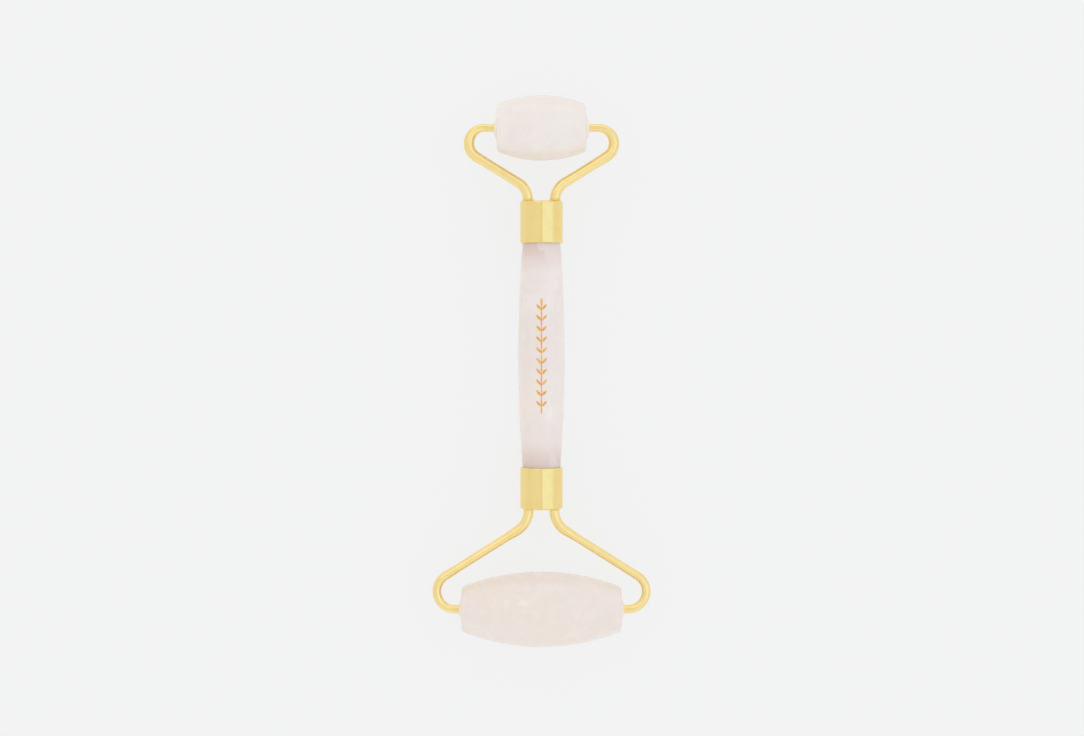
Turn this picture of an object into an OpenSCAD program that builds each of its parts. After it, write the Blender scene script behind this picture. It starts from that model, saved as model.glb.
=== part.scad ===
// Two-ended facial massage roller.
// A barrel-shaped stone handle is glued into two metal ferrules. Each ferrule carries two bent
// wire arms, and the arms' pins hold a stone roller that spins on plastic bushes.
// The roller lies flat: +Z is up, the handle runs along Y with the small roller at +Y, and
// both roller axes are parallel to X. The origin is under the middle of the whole outline.

/* [Handle] */
// Length of stone that shows between the ferrules
handle_len = 58.7; // [40:0.1:90]
// Diameter at the middle of the handle
handle_mid_d = 12.3; // [11:0.1:18]
// Diameter where the handle enters a ferrule
handle_end_d = 10; // [8:0.1:12.2]
// Length of the tenon inside each ferrule
tenon_len = 8.2; // [5:0.1:9]
// Step between the shown handle and its tenon, on the radius
tenon_step = 0.1; // [0.05:0.01:0.5]
// Chamfer on the end of each tenon
tenon_chamfer = 0.4; // [0.1:0.05:1]

/* [Ornament] */
// Length of the gilded sprig along the handle
sprig_len = 30; // [15:0.5:40]
// Number of leaf pairs along the sprig
leaf_pairs = 10; // [3:1:12]
// Length of one leaf
leaf_len = 2.1; // [1:0.05:3]
// Width of one leaf at its middle
leaf_w = 0.62; // [0.3:0.01:1]
// Angle between a leaf and the stem
leaf_angle = 42; // [20:1:70]
// Width of the stem
stem_w = 0.3; // [0.15:0.01:0.6]
// Depth of the engraved recess
engraving_depth = 0.14; // [0.08:0.01:0.3]
// Thickness of the gilding at the bottom of the recess
gilding_t = 0.08; // [0.03:0.01:0.2]

/* [Ferrules] */
// Length of a ferrule
ferrule_len = 10.9; // [8:0.1:16]
// Thickness of the ferrule's side wall
ferrule_wall = 0.55; // [0.4:0.01:1]
// Thickness of the wall that closes the ferrule's end
ferrule_end_wall = 1.3; // [0.8:0.05:2]
// Clearance round the handle at the ferrule's mouth, on the radius
mouth_clearance = 0.06; // [0.03:0.01:0.2]
// Rounding of the closed end's corner
ferrule_corner = 0.45; // [0.1:0.05:0.6]
// Rounding of the mouth's outer edge
ferrule_lip = 0.25; // [0.05:0.05:0.35]
// Distance of the glue from the ferrule's mouth
bond_inset = 0.4; // [0.2:0.1:2]

/* [Small roller] */
// Length of the small roller
small_len = 23.4; // [16:0.1:32]
// Diameter at the middle of the small roller
small_mid_d = 17.15; // [14:0.05:22]
// Diameter at the ends of the small roller
small_end_d = 12.3; // [9:0.05:13.5]
// Rounding of the small roller's end edges
small_edge = 1.2; // [0.1:0.05:1.6]

/* [Large roller] */
// Length of the large roller
large_len = 42; // [30:0.1:54]
// Diameter at the middle of the large roller
large_mid_d = 19.8; // [16:0.05:26]
// Diameter at the ends of the large roller
large_end_d = 11.7; // [9:0.05:15]
// Rounding of the large roller's end edges
large_edge = 1.3; // [0.1:0.05:1.6]

/* [Upper arms] */
// Gap between the upper ferrule and the small roller
upper_throat = 10.6; // [7:0.1:20]
// Distance from the small roller's end to the middle of an arm's outer bend
upper_side = 7.25; // [5.5:0.05:14]
// Metal left between an upper arm and the ferrule's outside
upper_rim = 0.7; // [0.4:0.05:1.5]
// Bend radius of an upper arm's wire beside the ferrule
upper_root_bend = 5.2; // [3:0.1:8]
// Bend radius of an upper arm's wire beside the roller
upper_end_bend = 4.05; // [3:0.05:5]
// Wire diameter of an upper arm at the ferrule
upper_root_d = 2.7; // [2:0.05:3]
// Wire diameter of an upper arm's straight stretch
upper_wire_d = 2.55; // [1.8:0.05:3]
// Wire diameter of an upper arm's outer bend
upper_bend_d = 2.75; // [1.8:0.05:3]
// Diameter of an upper arm's pin
upper_pin_d = 2.05; // [1.5:0.05:2.5]

/* [Lower arms] */
// Gap between the lower ferrule and the large roller
lower_throat = 16.65; // [12:0.05:28]
// Distance from the large roller's end to the middle of an arm's outer bend
lower_side = 6.5; // [5.6:0.05:14]
// Metal left between a lower arm and the ferrule's outside
lower_rim = 0.9; // [0.4:0.05:1.5]
// Bend radius of a lower arm's wire beside the ferrule
lower_root_bend = 6.4; // [3:0.1:9]
// Bend radius of a lower arm's wire beside the roller
lower_end_bend = 4.75; // [3:0.05:5.5]
// Wire diameter of a lower arm at the ferrule
lower_root_d = 2.65; // [2:0.05:3]
// Wire diameter of a lower arm's straight stretch
lower_wire_d = 2.2; // [1.8:0.05:3]
// Wire diameter of a lower arm's outer bend
lower_bend_d = 2.3; // [1.8:0.05:3]
// Diameter of a lower arm's pin
lower_pin_d = 2.2; // [1.5:0.05:2.5]

/* [Arm details] */
// Length of wire that stands inside the ferrule, past its end wall
foot_len = 0.6; // [0.2:0.1:1]
// Height of the braze fillet round each arm
braze_h = 0.45; // [0.2:0.05:0.8]
// Thickness of the braze fillet's outer edge
braze_toe = 0.04; // [0.02:0.01:0.1]
// Length over which the wire's diameter changes
taper_len = 2; // [0.5:0.1:3]
// Length over which the bend narrows to the pin
neck_len = 0.8; // [0.3:0.1:1.5]
// Amount by which a bend is thicker than the wire that runs into it, on the radius
bend_swell = 0.03; // [0.02:0.005:0.1]
// Chamfer on the tip of each pin
pin_chamfer = 0.25; // [0.1:0.05:0.5]

/* [Bushes] */
// Thickness of a bush's wall round the pin
bush_wall = 0.95; // [0.5:0.05:1.5]
// Clearance between a pin and its bush, on the radius
pin_clearance = 0.06; // [0.02:0.01:0.1]
// Gap between a pin's tip and the bottom of its bush
end_play = 0.4; // [0.1:0.05:1]
// Thickness of a bush's bottom
bush_floor = 0.8; // [0.4:0.1:1.5]
// Length of pin inside a small roller's bush
small_pin_depth = 5; // [3:0.1:8]
// Length of pin inside a large roller's bush
large_pin_depth = 6; // [3:0.1:10]
// Diameter of a small roller's bush head
small_head_d = 5.7; // [5:0.05:7]
// Diameter of a large roller's bush head
large_head_d = 5.1; // [5:0.05:7]
// Height of a bush head
head_h = 0.95; // [0.5:0.05:1.5]
// Height of the straight edge of a bush head
head_edge = 0.25; // [0.1:0.05:0.4]

/* [Hidden] */
$fn = 96;
// Facets of the large circles that outline the rollers
barrel_fn = 256;
// Number of straight steps along the handle's arc
handle_steps = 32;
// Extra length of a cutting tool past the face that it cuts
past = 1;
// Length of straight wire that runs on inside a bend
bend_lap = 0.3;

tenon_d = handle_end_d - 2 * tenon_step;
ferrule_bore_d = handle_end_d + 2 * mouth_clearance;
ferrule_d = ferrule_bore_d + 2 * ferrule_wall;
// Diameter of the flat on a ferrule's closed end, inside its rounded corner
ferrule_flat_d = ferrule_d - 2 * ferrule_corner;

upper_reach = upper_throat + small_mid_d / 2;
lower_reach = lower_throat + large_mid_d / 2;
half_body = handle_len / 2 + ferrule_len;
// Height of every axis, with the larger roller touching the ground
axis_z = max(small_mid_d, large_mid_d) / 2;
// Place of the handle's middle, with the whole outline centred on the origin
handle_y = (lower_reach + large_mid_d / 2 - upper_reach - small_mid_d / 2) / 2;

// Each arm: distance from the handle's axis to the root, to the outer bend and to the pin's tip,
// distance from the ferrule to the pin, bend radii at the root and at the end, and wire
// diameters at the root, along the straight, round the bend and at the pin
upper_arm = [
    ferrule_d / 2 - upper_rim - upper_root_d / 2, small_len / 2 + upper_side,
    small_len / 2 - small_pin_depth, upper_reach, upper_root_bend, upper_end_bend,
    upper_root_d, upper_wire_d, upper_bend_d, upper_pin_d
];
lower_arm = [
    ferrule_d / 2 - lower_rim - lower_root_d / 2, large_len / 2 + lower_side,
    large_len / 2 - large_pin_depth, lower_reach, lower_root_bend, lower_end_bend,
    lower_root_d, lower_wire_d, lower_bend_d, lower_pin_d
];
function arm_root_x(arm) = arm[0];
function arm_root_d(arm) = arm[6];

function bush_d(pin_d) = pin_d + 2 * (pin_clearance + bush_wall);

// Radius of the arc from one end of a barrel's outline over its middle to the other end
function barrel_arc(len, mid_d, end_d) =
    let (rise = (mid_d - end_d) / 2)
    (len * len / 4 + rise * rise) / (2 * rise);

// Distance from a barrel's axis to its surface lowered by inset, at a height y above its middle
function barrel_r(y, len, mid_d, end_d, inset = 0) =
    let (arc_r = barrel_arc(len, mid_d, end_d))
    mid_d / 2 - arc_r + sqrt(pow(arc_r - inset, 2) - y * y);

// Left is -1 and right is 1
module at_side(side) {
    scale([side, 1, 1]) children();
}

// Puts a piece drawn round local Z, with its top face at 0, on the upper or the lower ferrule's
// closed end, so that +Y points away from the handle
module at_fork(end) {
    translate([0, handle_y + end * half_body, axis_z])
        rotate([0, 0, end > 0 ? 0 : 180]) children();
}

module at_roller(end, reach) {
    translate([0, handle_y + end * (half_body + reach), axis_z]) rotate([0, 90, 0]) children();
}

module at_handle() {
    translate([0, handle_y, axis_z]) rotate([-90, 0, 0]) children();
}

// A barrel with rounded end edges: the rounding touches the arc and the end face
module stone_barrel(len, mid_d, end_d, edge, bore_d) {
    arc_r = barrel_arc(len, mid_d, end_d);
    edge_y = len / 2 - edge;
    edge_x = barrel_r(edge_y, len, mid_d, end_d, edge);
    touch_y = edge_y * arc_r / (arc_r - edge);
    difference() {
        rotate_extrude() {
            intersection() {
                translate([mid_d / 2 - arc_r, 0]) circle(r = arc_r, $fn = barrel_fn);
                translate([0, -touch_y]) square([mid_d, 2 * touch_y]);
            }
            translate([0, -len / 2]) square([edge_x, len]);
            for (side = [-1, 1]) translate([edge_x, side * edge_y]) circle(r = edge);
        }
        cylinder(d = bore_d, h = len + 2 * past, center = true);
    }
}

module bush(len, pin_d, depth, head_d) {
    bore_d = pin_d + 2 * pin_clearance;
    dome_h = head_h - head_edge;
    dome_r = (pow(head_d / 2, 2) + dome_h * dome_h) / (2 * dome_h);
    translate([0, 0, len / 2]) difference() {
        union() {
            intersection() {
                cylinder(d = head_d, h = head_h);
                translate([0, 0, head_h - dome_r]) sphere(r = dome_r);
            }
            translate([0, 0, -depth - end_play - bush_floor])
                cylinder(d = bush_d(pin_d), h = depth + end_play + bush_floor);
        }
        translate([0, 0, -depth - end_play])
            cylinder(d = bore_d, h = depth + end_play + head_h + past);
    }
}

// One arm of a fork, for the right side. Its centreline leaves the ferrule straight, turns out
// round the first centre, runs along the two arcs' common tangent, and turns back round the
// second centre until it points at the roller's end.
module arm(spec) {
    tip_x = spec[2];
    reach = spec[3];
    root_r = spec[4];
    end_r = spec[5];
    wire_d = spec[7];
    bend_d = spec[8];
    pin_d = spec[9];
    root_d = arm_root_d(spec);
    root_x = arm_root_x(spec);
    first = [root_x + root_r, braze_h];
    second = [spec[1] - end_r, reach - end_r];
    across = second - first;
    slope = atan2(across[1], across[0]) - asin((root_r + end_r) / norm(across));
    run = sqrt(pow(norm(across), 2) - pow(root_r + end_r, 2));
    start = first + root_r * [-sin(slope), cos(slope)];
    foot = ferrule_end_wall + foot_len;

    translate([root_x, -foot, 0]) rotate([-90, 0, 0])
        cylinder(d = root_d, h = foot + braze_h + bend_lap);
    translate(first) rotate([0, 0, 90 + slope]) wire_bend(90 - slope, root_r, root_d);
    translate(start) rotate([0, 0, slope]) rotate([0, 90, 0]) {
        translate([0, 0, -bend_lap]) cylinder(d = root_d, h = bend_lap);
        cylinder(d1 = root_d, d2 = wire_d, h = taper_len);
        translate([0, 0, taper_len]) cylinder(d = wire_d, h = run - 2 * taper_len);
        translate([0, 0, run - taper_len]) cylinder(d1 = wire_d, d2 = bend_d, h = taper_len);
        translate([0, 0, run]) cylinder(d = bend_d, h = bend_lap);
    }
    translate(second) rotate([0, 0, slope - 90]) wire_bend(180 - slope, end_r, bend_d);
    translate([second[0] + bend_lap, reach, 0]) rotate([0, -90, 0]) {
        cylinder(d = bend_d, h = bend_lap);
        translate([0, 0, bend_lap]) cylinder(d1 = bend_d, d2 = pin_d, h = neck_len);
        translate([0, 0, bend_lap + neck_len])
            cylinder(d = pin_d, h = second[0] - neck_len - tip_x - pin_chamfer);
        translate([0, 0, bend_lap + second[0] - tip_x - pin_chamfer])
            cylinder(d1 = pin_d, d2 = pin_d - 2 * pin_chamfer, h = pin_chamfer);
    }
}

// Wire bent round the origin, from the X axis towards +Y
module wire_bend(angle, bend_r, d) {
    rotate_extrude(angle = angle) translate([bend_r, 0]) circle(d = d + 2 * bend_swell);
}

// A concave ring of braze, trimmed where it would run over the ferrule's rounded corner
module braze(spec) {
    root_r = arm_root_d(spec) / 2;
    rotate([-90, 0, 0]) intersection() {
        translate([arm_root_x(spec), 0, 0]) rotate_extrude() difference() {
            translate([root_r, 0]) square(braze_h);
            translate([root_r + braze_h + braze_toe, braze_h + braze_toe]) circle(r = braze_h);
        }
        cylinder(d = ferrule_flat_d, h = braze_h);
    }
}

module arm_holes(spec) {
    for (side = [-1, 1]) translate([side * arm_root_x(spec), 0, -ferrule_end_wall - past])
        cylinder(d = arm_root_d(spec), h = ferrule_end_wall + 2 * past);
}

// A cup drawn round local Z, with its closed end's outer face at 0
module ferrule(spec) {
    rotate([-90, 0, 0]) difference() {
        rotate_extrude() {
            translate([0, -ferrule_len]) square([ferrule_d / 2 - ferrule_corner, ferrule_len]);
            translate([0, ferrule_lip - ferrule_len])
                square([ferrule_d / 2, ferrule_len - ferrule_lip - ferrule_corner]);
            translate([ferrule_d / 2 - ferrule_corner, -ferrule_corner])
                circle(r = ferrule_corner);
            translate([ferrule_d / 2 - ferrule_lip, ferrule_lip - ferrule_len])
                circle(r = ferrule_lip);
        }
        translate([0, 0, -ferrule_len - past])
            cylinder(d = ferrule_bore_d, h = ferrule_len - ferrule_end_wall + past);
        arm_holes(spec);
    }
}

// Glue that fills the ferrule between its wall, its end and the handle's tenon
module bond(spec) {
    rotate([-90, 0, 0]) difference() {
        translate([0, 0, bond_inset - ferrule_len])
            cylinder(d = ferrule_bore_d, h = ferrule_len - ferrule_end_wall - bond_inset);
        translate([0, 0, -ferrule_len]) tenon();
        for (side = [-1, 1]) translate([side * arm_root_x(spec), 0, -ferrule_end_wall - foot_len])
            cylinder(d = arm_root_d(spec), h = foot_len + past);
    }
}

module tenon() {
    cylinder(d = tenon_d, h = tenon_len - tenon_chamfer);
    translate([0, 0, tenon_len - tenon_chamfer])
        cylinder(d1 = tenon_d, d2 = tenon_d - 2 * tenon_chamfer, h = tenon_chamfer);
}

// The handle's long flat arc is drawn in short steps, so that it stays true at any radius
module handle_barrel(inset = 0) {
    rotate_extrude() polygon(concat(
        [[0, -handle_len / 2]],
        [for (i = [0 : handle_steps])
            let (y = handle_len * (i / handle_steps - 1 / 2))
            [barrel_r(y, handle_len, handle_mid_d, handle_end_d, inset), y]],
        [[0, handle_len / 2]]
    ));
}

// A pointed leaf with its base at the origin and its tip along +Y
module leaf() {
    arc_r = (leaf_len * leaf_len + leaf_w * leaf_w) / (4 * leaf_w);
    arc_x = arc_r - leaf_w / 2;
    intersection() {
        translate([arc_x, leaf_len / 2]) circle(r = arc_r);
        translate([-arc_x, leaf_len / 2]) circle(r = arc_r);
    }
}

// A plain stem with pairs of leaves, along the handle
module sprig() {
    stem_len = sprig_len - leaf_len / 2;
    pitch = (stem_len - leaf_len / 2) / leaf_pairs;
    translate([0, -sprig_len / 2]) {
        translate([-stem_w / 2, 0]) square([stem_w, stem_len]);
        translate([0, sprig_len - leaf_len]) leaf();
        for (i = [1 : leaf_pairs], side = [-1, 1])
            translate([0, i * pitch - leaf_len / 2]) rotate(side * leaf_angle) leaf();
    }
}

// The sprig between two depths under the handle's surface, on the side that faces up
module sprig_shell(top, bottom) {
    intersection() {
        difference() {
            handle_barrel(top);
            handle_barrel(bottom);
        }
        rotate([90, 0, 0]) linear_extrude(height = handle_mid_d) sprig();
    }
}

module handle() {
    color([0.93, 0.88, 0.87]) at_handle() difference() {
        union() {
            handle_barrel();
            for (end = [0, 1]) mirror([0, 0, end]) translate([0, 0, handle_len / 2]) tenon();
        }
        sprig_shell(-engraving_depth, engraving_depth);
    }
}

module handle_gilding() {
    color([0.9, 0.64, 0.25]) at_handle() sprig_shell(engraving_depth - gilding_t, engraving_depth);
}

module gold() {
    color([0.93, 0.8, 0.47]) children();
}

module glue() {
    color([0.9, 0.88, 0.8]) children();
}

module stone() {
    color([0.93, 0.88, 0.87]) children();
}

module clear_plastic() {
    color([0.95, 0.9, 0.82, 0.7]) children();
}

module small_bush() {
    bush(small_len, upper_pin_d, small_pin_depth, small_head_d);
}

module large_bush() {
    bush(large_len, lower_pin_d, large_pin_depth, large_head_d);
}

module upper_ferrule() { gold() at_fork(1) ferrule(upper_arm); }
module lower_ferrule() { gold() at_fork(-1) ferrule(lower_arm); }
module upper_bond() { glue() at_fork(1) bond(upper_arm); }
module lower_bond() { glue() at_fork(-1) bond(lower_arm); }
module upper_left_arm() { gold() at_side(-1) at_fork(1) arm(upper_arm); }
module upper_right_arm() { gold() at_side(1) at_fork(1) arm(upper_arm); }
module lower_left_arm() { gold() at_side(1) at_fork(-1) arm(lower_arm); }
module lower_right_arm() { gold() at_side(-1) at_fork(-1) arm(lower_arm); }
module upper_left_braze() { gold() at_side(-1) at_fork(1) braze(upper_arm); }
module upper_right_braze() { gold() at_side(1) at_fork(1) braze(upper_arm); }
module lower_left_braze() { gold() at_side(1) at_fork(-1) braze(lower_arm); }
module lower_right_braze() { gold() at_side(-1) at_fork(-1) braze(lower_arm); }

module small_roller() {
    stone() at_roller(1, upper_reach)
        stone_barrel(small_len, small_mid_d, small_end_d, small_edge, bush_d(upper_pin_d));
}

module large_roller() {
    stone() at_roller(-1, lower_reach)
        stone_barrel(large_len, large_mid_d, large_end_d, large_edge, bush_d(lower_pin_d));
}

module small_left_bush() { clear_plastic() at_side(-1) at_roller(1, upper_reach) small_bush(); }
module small_right_bush() { clear_plastic() at_side(1) at_roller(1, upper_reach) small_bush(); }
module large_left_bush() { clear_plastic() at_side(-1) at_roller(-1, lower_reach) large_bush(); }
module large_right_bush() { clear_plastic() at_side(1) at_roller(-1, lower_reach) large_bush(); }

handle();
handle_gilding();
upper_ferrule();
lower_ferrule();
upper_bond();
lower_bond();
upper_left_arm();
upper_right_arm();
lower_left_arm();
lower_right_arm();
upper_left_braze();
upper_right_braze();
lower_left_braze();
lower_right_braze();
small_roller();
small_left_bush();
small_right_bush();
large_roller();
large_left_bush();
large_right_bush();
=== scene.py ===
"""Looks for the two-ended stone face roller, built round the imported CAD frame. Units are metres."""

import math
from math import cos, pi, sin

import bpy
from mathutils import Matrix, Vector, noise


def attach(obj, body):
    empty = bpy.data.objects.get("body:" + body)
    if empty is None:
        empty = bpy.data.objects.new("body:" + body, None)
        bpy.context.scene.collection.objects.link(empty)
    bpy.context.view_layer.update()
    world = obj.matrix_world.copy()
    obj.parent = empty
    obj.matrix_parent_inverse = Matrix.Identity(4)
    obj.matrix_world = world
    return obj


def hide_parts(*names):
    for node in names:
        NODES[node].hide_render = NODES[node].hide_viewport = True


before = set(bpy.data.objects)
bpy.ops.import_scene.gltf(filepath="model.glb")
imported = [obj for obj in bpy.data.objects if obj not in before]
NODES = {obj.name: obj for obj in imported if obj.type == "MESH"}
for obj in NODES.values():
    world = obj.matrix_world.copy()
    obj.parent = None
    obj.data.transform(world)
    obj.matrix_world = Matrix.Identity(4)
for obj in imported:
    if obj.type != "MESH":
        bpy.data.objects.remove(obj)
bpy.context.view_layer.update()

MM = 0.001
ENDS = ("upper", "lower")
SIDES = ("left", "right")

# Places and sizes of the frame, in millimetres, as the CAD has them: the height of every axis, the
# handle's middle, its distance to a ferrule's end face, and that face's flat radius and round edge
AXIS_Z = 9.9
HANDLE_Y = 4.35
HALF_BODY = 40.25
FLAT_R = 5.16
CORNER = 0.45

# Each roller's fork and axle
ROLLERS = {
    "small": dict(end="upper", axis_y=63.775),
    "large": dict(end="lower", axis_y=-62.45),
}

# Arms, in millimetres from the middle of the ferrule's end face, X outwards and Y away from the
# handle: the root, the widest point, the pin's tip and its distance, the two bends, the wire's
# thickness at four places, the share of the end bend that narrows, and the braze's spread
ARMS = {
    "upper": dict(
        root_x=3.56, half_span=18.95, tip_x=6.7, reach=19.175, root_r=5.2, end_r=4.05,
        root_d=2.7, wire_d=2.55, bend_d=2.78, pin_d=2.05, narrowing=0.62,
        braze=0.85),
    "lower": dict(
        root_x=3.385, half_span=27.5, tip_x=15, reach=26.55, root_r=6.4, end_r=4.75,
        root_d=2.65, wire_d=2.2, bend_d=2.34, pin_d=2.2, narrowing=0.4,
        braze=0.6),
}
BRAZE_H = 0.45      # where the root bend starts, above the ferrule
FOOT = 1.9          # how far the wire goes into the ferrule
PIN_ROUND = 0.25    # rounding of the pin's tip
TAPER = 5.0         # length over which the wire changes thickness
PAST_BEND = 0.7     # how far past the end bend it goes on narrowing
SUNK = 0.05         # how deep the braze's upper edge lies in the wire
SEATED = 0.015      # how deep its toe lies in the ferrule
TOE_PAST = 0.3      # how far its toe may run past the ferrule's flat
TOE_LUMP = 0.16     # unevenness of its toe
TOP_LUMP = 0.1      # unevenness of its upper edge

# Stones: where each is cut from the pattern, in millimetres, and the display colours of its
# ground, its milky clouds and its warm drifts
STONES = {
    "handle": dict(shift=(31, 12, 5), pink=(241, 228, 221), milk=(245, 234, 226),
                   warm=(244, 232, 222)),
    "small": dict(shift=(4, 3, 17), pink=(244, 233, 225), milk=(246, 237, 229),
                  warm=(247, 233, 221)),
    "large": dict(shift=(-13, 8, 2), pink=(241, 228, 219), milk=(243, 231, 222),
                  warm=(244, 229, 215)),
}
# The handle's painted shade and painted reflection of the gold ferrules near its ends: the deeper
# tone, and the distances from its middle over which it sets in
HANDLE_END_SHADE = dict(middle=HANDLE_Y, near=21, far=29.5, shaded_tone=(225, 203, 192))

# Studio: radiance of the ground and tent, the floor's share of real light, and its half width
GREY = 0.888
LIT_SHARE = 0.14
FLOOR_HALF = 3000

# Camera, in millimetres: its height over the axes, the point below it, the point it looks at
REACH = 600
CAMERA_X, CAMERA_Y, AIM_Y = 0.13, 18.8, 1.0
SENSOR, LENS = 36, 76.05


# ---------------------------------------------------------------- small helpers


def smooth(t):
    t = min(max(t, 0.0), 1.0)
    return t * t * (3 - 2 * t)


def mesh_object(name, points, faces, material):
    """Points in millimetres, in the row frame."""
    mesh = bpy.data.meshes.new(name)
    mesh.from_pydata([[v * MM for v in p] for p in points], [], faces)
    mesh.polygons.foreach_set("use_smooth", [True] * len(mesh.polygons))
    mesh.materials.append(material)
    made = bpy.data.objects.new(name, mesh)
    bpy.context.collection.objects.link(made)
    return made


def rings_to_faces(rings, around, closed_ends):
    faces = []
    for i in range(rings - 1):
        for j in range(around):
            a, b = i * around + j, i * around + (j + 1) % around
            faces.append((a, b, b + around, a + around))
    if closed_ends:
        faces.append(tuple(reversed(range(around))))
        faces.append(tuple(range((rings - 1) * around, rings * around)))
    return faces


def at_fork(end, side, x, y, z):
    """A point of an arm's own frame, in the row frame, in millimetres."""
    sign = 1 if end == "upper" else -1
    across = 1 if side == "right" else -1
    return (across * x, HANDLE_Y + sign * (HALF_BODY + y), AXIS_Z + z)


# ---------------------------------------------------------------- node helpers


class Shader:
    """A material or a world, with short calls for adding and joining nodes."""

    def __init__(self, owner, surface):
        self.owner = owner
        owner.use_nodes = True
        self.tree = owner.node_tree
        self.surface = self.tree.nodes[surface]

    def node(self, kind, inputs=None, **settings):
        made = self.tree.nodes.new(kind)
        for key, value in settings.items():
            setattr(made, key, value)
        for socket, value in (inputs or {}).items():
            self.put(made.inputs[socket], value)
        return made

    def put(self, socket, value):
        """Links a socket, or sets a plain value."""
        if isinstance(value, bpy.types.NodeSocket):
            self.tree.links.new(value, socket)
        else:
            socket.default_value = value

    def set(self, **values):
        """Inputs of the surface by name, with an underscore for a space."""
        for key, value in values.items():
            self.put(self.surface.inputs[key.replace("_", " ")], value)

    def place(self, shift=(0, 0, 0), scale=(1, 1, 1), turn=(0, 0, 0)):
        """The point in the object's own space, moved by millimetres, turned and stretched."""
        mapping = self.node("ShaderNodeMapping", {
            "Vector": self.node("ShaderNodeTexCoord").outputs["Object"],
            "Location": [v * MM for v in shift], "Rotation": turn, "Scale": scale,
        })
        return mapping.outputs["Vector"]

    def split(self, vector):
        return self.node("ShaderNodeSeparateXYZ", {"Vector": vector}).outputs

    def noise(self, where, size, detail=3.0, rough=0.5, twist=0.0):
        """Noise whose features are about size millimetres across."""
        return self.node("ShaderNodeTexNoise", {
            "Vector": where, "Scale": 1 / (size * MM), "Detail": detail,
            "Roughness": rough, "Distortion": twist,
        }).outputs["Fac"]

    def cells(self, where, size):
        """Distance to the nearest of scattered points, about size millimetres apart."""
        return self.node("ShaderNodeTexVoronoi", {
            "Vector": where, "Scale": 1 / (size * MM),
        }).outputs["Distance"]

    def facets(self, where, size):
        """Flat-sided cells, each with a value of its own."""
        return self.split(self.node("ShaderNodeTexVoronoi", {
            "Vector": where, "Scale": 1 / (size * MM),
        }).outputs["Color"])["X"]

    def spread(self, value, low, high, to_low=0.0, to_high=1.0):
        """A soft step from to_low at low to to_high at high."""
        return self.node("ShaderNodeMapRange", {
            "Value": value, "From Min": low, "From Max": high,
            "To Min": to_low, "To Max": to_high,
        }, interpolation_type="SMOOTHSTEP").outputs["Result"]

    def calc(self, what, a, b=0.0):
        made = self.node("ShaderNodeMath", operation=what)
        self.put(made.inputs[0], a)
        self.put(made.inputs[1], b)
        return made.outputs["Value"]

    def line(self, value, middle, width):
        """1 where value is at middle, and 0 from width away."""
        away = self.calc("ABSOLUTE", self.calc("SUBTRACT", value, middle))
        return self.spread(away, 0.0, width, 1.0, 0.0)

    def mix(self, factor, a, b):
        made = self.node("ShaderNodeMix", data_type="RGBA")
        for socket, value in zip((0, 6, 7), (factor, a, b)):
            self.put(made.inputs[socket], value)
        return made.outputs[2]

    def bump(self, height, depth, under=None):
        """Height from 0 to 1 as a relief of depth millimetres."""
        made = self.node("ShaderNodeBump", {"Height": height, "Distance": depth * MM})
        if under is not None:
            self.put(made.inputs["Normal"], under)
        return made.outputs["Normal"]


def new_material(name):
    return Shader(bpy.data.materials.new(name), "Principled BSDF")


def colour(red, green, blue):
    """A display colour from 0 to 255 as the linear colour that the shader takes."""
    def linear(value):
        value /= 255
        return value / 12.92 if value <= 0.04045 else ((value + 0.055) / 1.055) ** 2.4
    return (linear(red), linear(green), linear(blue), 1.0)


# ------------------------------------------------------------------- materials


def paint_end_shade(s, tone, mottle, shift, middle, near, far, shaded_tone):
    """A deeper tone near the ferrules, painted shade and painted gold reflection, with pale fracture
    planes, from near to far along Y from the middle.
    """
    along = s.calc("ABSOLUTE", s.calc("SUBTRACT", s.split(s.place())["Y"], middle * MM))
    along = s.calc("ADD", along, s.calc("MULTIPLY", s.calc("SUBTRACT", mottle, 0.5), 4 * MM))
    # painted shade and painted gold reflection: the stone darkens and warms towards the ferrules
    depth = s.spread(along, near * MM, far * MM)
    tone = s.mix(depth, tone, colour(*shaded_tone))
    plane = s.facets(s.place(shift, scale=(1, 0.55, 0.8), turn=(0.3, 0.2, 0.6)), 4.2)
    plane = s.calc("MULTIPLY", s.spread(plane, 0.55, 0.75), s.spread(depth, 0.05, 0.6, 0, 0.5))
    return s.mix(plane, tone, colour(243, 230, 225))


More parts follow.
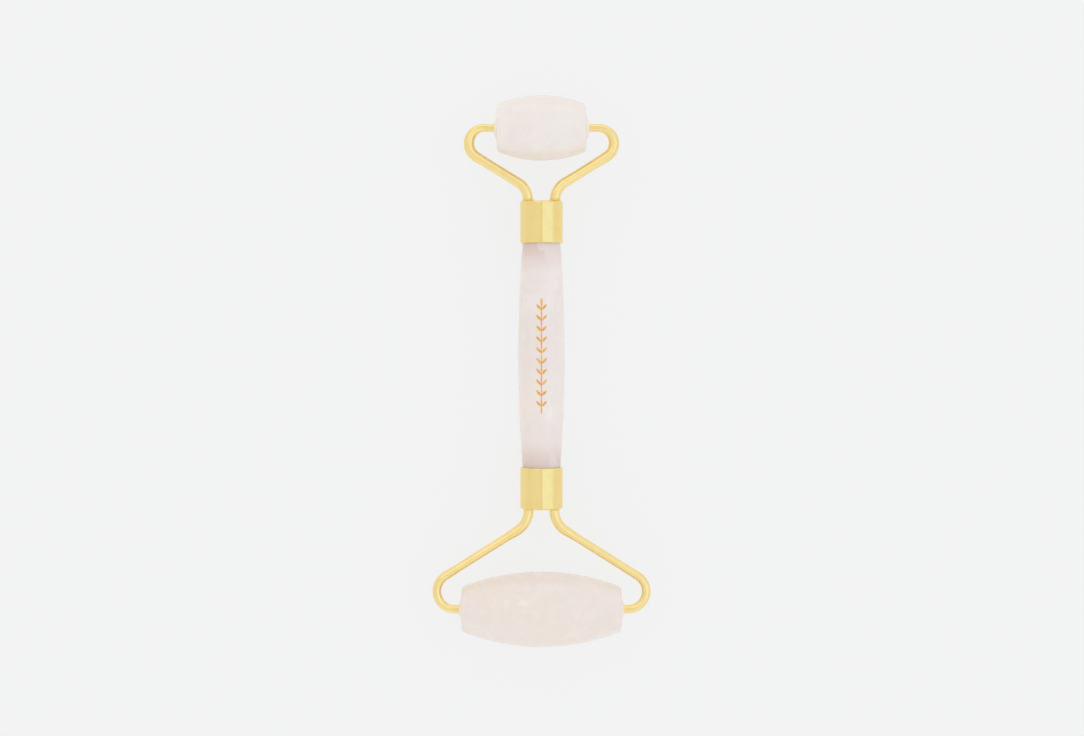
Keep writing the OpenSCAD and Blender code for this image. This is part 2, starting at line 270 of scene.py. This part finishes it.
def make_stone(name, shift, pink, milk, warm, end_shade=None):
    """Polished rose quartz: soft clouds and drifts, pale veils, healed cracks and fine flecks."""
    s = new_material(name)
    here = s.place(shift)
    cloud = s.noise(here, 13, detail=4, rough=0.5, twist=0.8)
    drift = s.noise(s.place(shift, scale=(0.7, 1.2, 1), turn=(0.3, 0.5, 0.8)), 19, detail=2)
    mottle = s.noise(here, 2.6, detail=5, rough=0.65, twist=0.3)
    tone = s.mix(s.spread(cloud, 0.38, 0.64), colour(*pink), colour(*milk))
    tone = s.mix(s.spread(drift, 0.46, 0.68, 0, 0.75), tone, colour(*warm))
    tone = s.mix(s.spread(mottle, 0.4, 0.7, 0, 0.22), tone, colour(251, 246, 243))

    turned = s.place(shift, turn=(0.9, 0.2, 0.5))
    veil = s.line(s.noise(turned, 21, detail=3, twist=1.1), 0.5, 0.022)
    veil = s.calc("MULTIPLY", veil, s.spread(s.noise(here, 7), 0.45, 0.65, 0, 0.28))
    tone = s.mix(veil, tone, colour(254, 250, 248))

    leaning = s.place(shift, scale=(1, 0.35, 1), turn=(0.4, 1.1, 0.7))
    crack = s.line(s.noise(leaning, 12, detail=2, rough=0.3, twist=0.15), 0.47, 0.004)
    crack = s.calc("MULTIPLY", crack, s.spread(drift, 0.5, 0.62))
    tone = s.mix(s.calc("MULTIPLY", crack, 0.25), tone, colour(252, 246, 243))

    fleck = s.spread(s.cells(here, 0.8), 0.05, 0.16, 1.0, 0.0)
    fleck = s.calc("MULTIPLY", fleck, s.spread(mottle, 0.52, 0.6))
    tone = s.mix(s.calc("MULTIPLY", fleck, 0.45), tone, colour(255, 253, 251))

    # painted shade and painted gold reflection towards the handle's ends
    if end_shade:
        tone = paint_end_shade(s, tone, mottle, shift, **end_shade)

    s.set(Base_Color=tone, IOR=1.54)
    s.set(Roughness=s.spread(s.noise(here, 1.6, detail=4, rough=0.6), 0.3, 0.75, 0.1, 0.24))
    s.set(Subsurface_Weight=0.12, Subsurface_Scale=1.0)
    s.set(Subsurface_Radius=(2.0 * MM, 1.6 * MM, 1.4 * MM))
    relief = s.bump(s.noise(here, 3.5, detail=2), 0.006)
    s.set(Normal=s.bump(crack, 0.002, relief))
    return s.owner


def make_gold(name, base, deep, scratch_turn, dull):
    """Bright plating over brass: a soft ripple, fine wiping marks and slightly deeper patches.

    dull is the roughness of its cleanest patches.
    """
    s = new_material(name)
    patch = s.noise(s.place(), 2.4, detail=4, rough=0.6)
    s.set(Base_Color=s.mix(s.spread(patch, 0.35, 0.75), base, deep), Metallic=1.0)
    drawn = s.place(scale=(1, 0.04, 1), turn=(0, 0, scratch_turn))
    wipe = s.noise(drawn, 0.14, detail=3, rough=0.7)
    haze = s.noise(s.place(), 0.9, detail=5, rough=0.65)
    wiped = s.spread(wipe, 0.35, 0.7, dull, 1.8 * dull)
    rough = s.calc("MULTIPLY", s.spread(haze, 0.3, 0.75, 0.7, 1.3), wiped)
    s.set(Roughness=rough)
    ripple = s.bump(s.noise(s.place(), 1.8, detail=2), 0.0025)
    s.set(Normal=s.bump(wipe, 0.0004, ripple))
    return s.owner


def make_braze(name):
    """Plated solder: duller than the wire, with fine pits."""
    s = new_material(name)
    grain = s.noise(s.place(), 0.22, detail=4, rough=0.6)
    tone = s.mix(s.spread(grain, 0.35, 0.7), colour(250, 225, 150), colour(243, 208, 122))
    s.set(Base_Color=tone)
    s.set(Metallic=1.0, Roughness=s.spread(grain, 0.3, 0.7, 0.13, 0.24))
    s.set(Normal=s.bump(grain, 0.004))
    return s.owner


def make_gilt(name):
    """Gilding paint wiped into the engraving: fine metal flake in an orange-gold binder."""
    s = new_material(name)
    flake = s.cells(s.place(), 0.07)
    pool = s.noise(s.place(), 0.6, detail=3)
    tone = s.mix(s.spread(pool, 0.35, 0.65), colour(232, 160, 62), colour(246, 196, 110))
    s.set(Base_Color=s.mix(s.spread(flake, 0.1, 0.5, 0.35, 0.0), tone, colour(255, 224, 160)))
    s.set(Metallic=0.55, Roughness=s.spread(flake, 0.1, 0.6, 0.28, 0.48))
    s.set(Normal=s.bump(s.noise(s.place(), 0.1, detail=3), 0.008))
    return s.owner


def make_bush(name, axis_y, pin_r):
    """Milky clear plastic, with the gilt pin seen through it painted in as a warm tint round its
    mouth.
    """
    s = new_material(name)
    cloud = s.noise(s.place(), 0.7, detail=3)
    flat = s.place(shift=(0, -axis_y, -AXIS_Z), scale=(0, 1, 1))
    off = s.node("ShaderNodeVectorMath", {"Vector": flat}, operation="LENGTH")
    # painted see-through: a warm tint round the pin stands in for the gold pin showing through the
    # plastic
    painted_pin_tint = s.spread(off.outputs["Value"], pin_r * MM, (pin_r + 1.5) * MM, 0.85, 0.0)
    pale = s.mix(cloud, colour(253, 243, 230), colour(254, 249, 242))
    s.set(Base_Color=s.mix(painted_pin_tint, pale, colour(253, 222, 168)))
    s.set(Roughness=s.spread(s.noise(s.place(), 0.4, detail=4), 0.3, 0.7, 0.06, 0.14), IOR=1.45)
    s.set(Normal=s.bump(s.noise(s.place(), 0.9, detail=2), 0.003))
    return s.owner


def make_epoxy(name):
    """Set glue, slightly yellow, with pinhead bubbles."""
    s = new_material(name)
    cloud = s.noise(s.place(), 0.8, detail=3)
    bubble = s.spread(s.cells(s.place(), 0.5), 0.1, 0.2, 1.0, 0.0)
    tone = s.mix(cloud, colour(214, 200, 160), colour(228, 216, 184))
    s.set(Base_Color=s.mix(s.calc("MULTIPLY", bubble, 0.5), tone, colour(244, 238, 220)))
    s.set(Roughness=s.spread(cloud, 0.3, 0.7, 0.25, 0.45), Normal=s.bump(bubble, 0.02))
    return s.owner


# ---------------------------------------------------------------------- pieces


def dress(node, material):
    mesh = NODES[node].data
    mesh.materials.clear()
    mesh.materials.append(material)


def wire_radii(points, a, run_from, run, slope):
    """The wire's radius at each point: thick at the root, fuller in the bend, the pin's own size."""
    travelled, walked = [0.0], 0.0
    for p, q in zip(points, points[1:]):
        walked += (q - p).length
        travelled.append(walked)
    bend_from = run_from + run
    bend_to = bend_from + a["end_r"] * (pi - slope)
    narrow_from = bend_to - (bend_to - bend_from) * a["narrowing"]
    narrow_to = bend_to + PAST_BEND
    radii = []
    for at in travelled:
        d = a["root_d"] + (a["wire_d"] - a["root_d"]) * smooth((at - run_from + 1) / TAPER)
        d += (a["bend_d"] - a["wire_d"]) * smooth((at - bend_from + TAPER - 1) / TAPER)
        d += (a["pin_d"] - a["bend_d"]) * smooth((at - narrow_from) / (narrow_to - narrow_from))
        radii.append(d / 2)
    return radii


def arm_path(a):
    """The centreline's points and the wire's radius at each, from the foot to the pin's tip."""
    first = Vector((a["root_x"] + a["root_r"], BRAZE_H))
    second = Vector((a["half_span"] - a["end_r"], a["reach"] - a["end_r"]))
    across = second - first
    both = a["root_r"] + a["end_r"]
    slope = math.atan2(across.y, across.x) - math.asin(both / across.length)
    run = math.sqrt(across.length ** 2 - both ** 2)
    heading = Vector((cos(slope), sin(slope)))
    start = first + a["root_r"] * Vector((-sin(slope), cos(slope)))

    points = [Vector((a["root_x"], -FOOT + (FOOT + BRAZE_H) * i / 4)) for i in range(4)]
    turn = pi / 2 - slope
    for i in range(25):
        at = pi - turn * i / 24
        points.append(first + a["root_r"] * Vector((cos(at), sin(at))))
    points += [start + heading * run * i / 40 for i in range(1, 40)]
    turn = pi - slope
    for i in range(49):
        at = slope - pi / 2 + turn * i / 48
        points.append(second + a["end_r"] * Vector((cos(at), sin(at))))
    pin = second.x - a["tip_x"] - PIN_ROUND
    points += [Vector((second.x - pin * i / 16, a["reach"])) for i in range(1, 17)]

    run_from = FOOT + BRAZE_H + a["root_r"] * (pi / 2 - slope)
    return points, wire_radii(points, a, run_from, run, slope)


def make_arm(end, side, material, around=48):
    """Swept wire with a rounded tip on its pin, in place of the CAD arm."""
    points, radii = arm_path(ARMS[end])
    tip, tip_r = points[-1], radii[-1]
    for i in range(1, 7):
        angle = pi / 2 * i / 6
        points.append(tip - Vector((PIN_ROUND * sin(angle), 0)))
        radii.append(tip_r - PIN_ROUND * (1 - cos(angle)))
    rows = []
    for i, (p, r) in enumerate(zip(points, radii)):
        ahead = points[min(i + 1, len(points) - 1)] - points[max(i - 1, 0)]
        out = Vector((ahead.y, -ahead.x)).normalized()
        for j in range(around):
            at = 2 * pi * j / around
            q = p + out * r * cos(at)
            rows.append(at_fork(end, side, q.x, q.y, r * sin(at)))
    flip = (end == "upper") == (side == "left")
    faces = rings_to_faces(len(points), around, closed_ends=True)
    if flip:
        faces = [tuple(reversed(f)) for f in faces]
    name = f"{end}_{side}_arm"
    arm = mesh_object(f"{name}_wire", rows, faces, material)
    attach(arm, "fork_frame")
    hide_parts(name)


def braze_edge(a, way, seed):
    """How far the braze spreads over the ferrule and climbs the wire, in one direction."""
    spread = a["braze"] + TOE_LUMP * noise.noise(Vector((way.x * 0.9, way.y * 0.9, seed)))
    height = 1.5 * a["braze"] + TOP_LUMP * noise.noise(Vector((way.x, way.y, seed + 5)))
    root = -a["root_x"] * way.x
    rim = root + math.sqrt(root ** 2 + (FLAT_R + TOE_PAST) ** 2 - a["root_x"] ** 2)
    return min(spread, rim - a["root_d"] / 2), height


def braze_point(a, way, angle, spread, height):
    """A point of the fillet: angle runs from 0 at its toe to a quarter turn on the wire."""
    hollow = 0.6 * (1 - sin(angle)) + 0.4 * cos(angle) ** 2
    r = a["root_d"] / 2 - SUNK + spread * hollow
    rise = height * (1 - cos(angle))
    bend = max(rise - BRAZE_H, 0)
    lean = a["root_r"] - math.sqrt(a["root_r"] ** 2 - bend ** 2)
    x, z = a["root_x"] + lean + r * way.x, r * way.y
    past = min(max(math.hypot(x, z) - FLAT_R, 0), CORNER)
    drop = CORNER - math.sqrt(CORNER ** 2 - past ** 2)
    return x, rise - SEATED - drop * cos(angle), z


def make_braze_fillet(end, side, material, around=64, steps=14):
    """A concave fillet round the arm's root with a slightly uneven edge, in place of the CAD's."""
    a = ARMS[end]
    seed = 10.0 * ENDS.index(end) + 3.0 * SIDES.index(side)
    rows = []
    for i in range(steps + 1):
        for j in range(around):
            at = 2 * pi * j / around
            way = Vector((cos(at), sin(at)))
            spread, height = braze_edge(a, way, seed)
            point = braze_point(a, way, pi / 2 * i / steps, spread, height)
            rows.append(at_fork(end, side, *point))
    faces = rings_to_faces(steps + 1, around, closed_ends=False)
    faces.append(tuple(reversed(range(around))))
    if (end == "upper") == (side == "left"):
        faces = [tuple(reversed(f)) for f in faces]
    name = f"{end}_{side}_braze"
    fillet = mesh_object(f"{name}_fillet", rows, faces, material)
    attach(fillet, "fork_frame")
    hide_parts(name)


def build_fork(end, gold, braze, epoxy):
    dress(f"{end}_ferrule", gold["ferrule"])
    dress(f"{end}_bond", epoxy)
    for side in SIDES:
        make_arm(end, side, gold["wire"])
        make_braze_fillet(end, side, braze)


def build_roller(size):
    roller = ROLLERS[size]
    dress(f"{size}_roller", make_stone(f"{size}_roller_stone", **STONES[size]))
    pin_r = ARMS[roller["end"]]["pin_d"] / 2
    plastic = make_bush(f"{size}_bush_plastic", roller["axis_y"], pin_r)
    for side in SIDES:
        dress(f"{size}_{side}_bush", plastic)


def build_handle():
    dress("handle", make_stone("handle_stone", **STONES["handle"], end_shade=HANDLE_END_SHADE))
    dress("handle_gilding", make_gilt("gilt_paint"))


def build_object():
    gold = {
        "ferrule": make_gold(
            "ferrule_gold", colour(249, 226, 152), colour(247, 221, 145), 0, 0.06),
        "wire": make_gold(
            "wire_gold", colour(253, 229, 160), colour(251, 223, 149), 0.9, 0.11),
    }
    braze, epoxy = make_braze("braze_gold"), make_epoxy("epoxy")
    for end in ENDS:
        build_fork(end, gold, braze, epoxy)
    build_handle()
    for size in ROLLERS:
        build_roller(size)


# ------------------------------------------------------- floor, light and camera


def make_floor():
    """A pale floor that glows softly, as a lit sweep does, and takes a faint shadow."""
    s = new_material("floor")
    s.set(Base_Color=(LIT_SHARE, LIT_SHARE, LIT_SHARE, 1), Roughness=1.0)
    s.set(Specular_IOR_Level=0.0, Emission_Color=(1, 1, 1, 1))
    s.set(Emission_Strength=GREY * (1 - LIT_SHARE))
    half = FLOOR_HALF
    corners = [(-half, -half, 0), (half, -half, 0), (half, half, 0), (-half, half, 0)]
    mesh_object("floor", corners, [(0, 1, 2, 3)], s.owner)


def grey_times(share):
    return [share * GREY] * 3 + [1]


def make_world():
    """A white tent: dimmer far left, a bright panel right, a low strip behind, a thin dark seam."""
    s = Shader(bpy.data.worlds.new("studio"), "Background")
    way = s.split(s.node("ShaderNodeTexCoord").outputs["Generated"])
    height = s.calc("MAXIMUM", way["Z"], 0.001)
    across = s.calc("DIVIDE", way["X"], height)
    along = s.calc("DIVIDE", s.calc("ABSOLUTE", way["Y"]), height)

    tent = s.mix(s.spread(way["X"], -1.0, -0.5), grey_times(0.97), grey_times(1))
    tent = s.mix(s.spread(s.calc("ABSOLUTE", way["Y"]), 0.5, 1.0), tent, grey_times(1.14))
    seam = s.calc("MULTIPLY", s.line(across, -0.01, 0.06), 0.5)
    tent = s.mix(seam, tent, (0.7, 0.66, 0.6, 1))

    panel = s.calc("MULTIPLY", s.spread(across, 0.06, 0.12), s.spread(across, 0.9, 3.4, 1, 0))
    panel = s.calc("MULTIPLY", panel, s.spread(along, 0.25, 0.8, 1, 0))
    lit = s.mix(panel, tent, (0.96, 1.06, 1.24, 1))
    strip = s.calc("MULTIPLY", s.line(way["Z"], 0.2, 0.1), s.spread(way["Y"], 0.8, 0.9))
    s.set(Color=s.mix(strip, lit, (1.5, 1.5, 1.5, 1)))
    bpy.context.scene.world = s.owner


def make_softbox(centre, size, radiance):
    """A faint square lamp overhead, which gives the forms a little shape."""
    data = bpy.data.lights.new("softbox", "AREA")
    data.shape = "SQUARE"
    data.size = size
    data.energy = radiance * pi * size * size
    light = bpy.data.objects.new("softbox", data)
    light.location = centre
    light.rotation_euler = (-Vector(centre)).to_track_quat("-Z", "Y").to_euler()
    bpy.context.collection.objects.link(light)


def make_camera():
    """Looks down over a point above the handle, tilted a little to centre the object."""
    data = bpy.data.cameras.new("camera")
    data.sensor_width = SENSOR
    data.lens = LENS
    data.clip_start = 0.01
    camera = bpy.data.objects.new("camera", data)
    camera.location = (CAMERA_X * MM, CAMERA_Y * MM, (AXIS_Z + REACH) * MM)
    camera.rotation_euler = (-math.atan2(CAMERA_Y - AIM_Y, REACH), 0, 0)
    bpy.context.collection.objects.link(camera)
    bpy.context.scene.camera = camera


build_object()
make_floor()
make_world()
make_softbox(centre=(-0.4, 0.5, 1.0), size=0.5, radiance=0.25)
make_camera()
bpy.context.scene.view_settings.view_transform = "Standard"
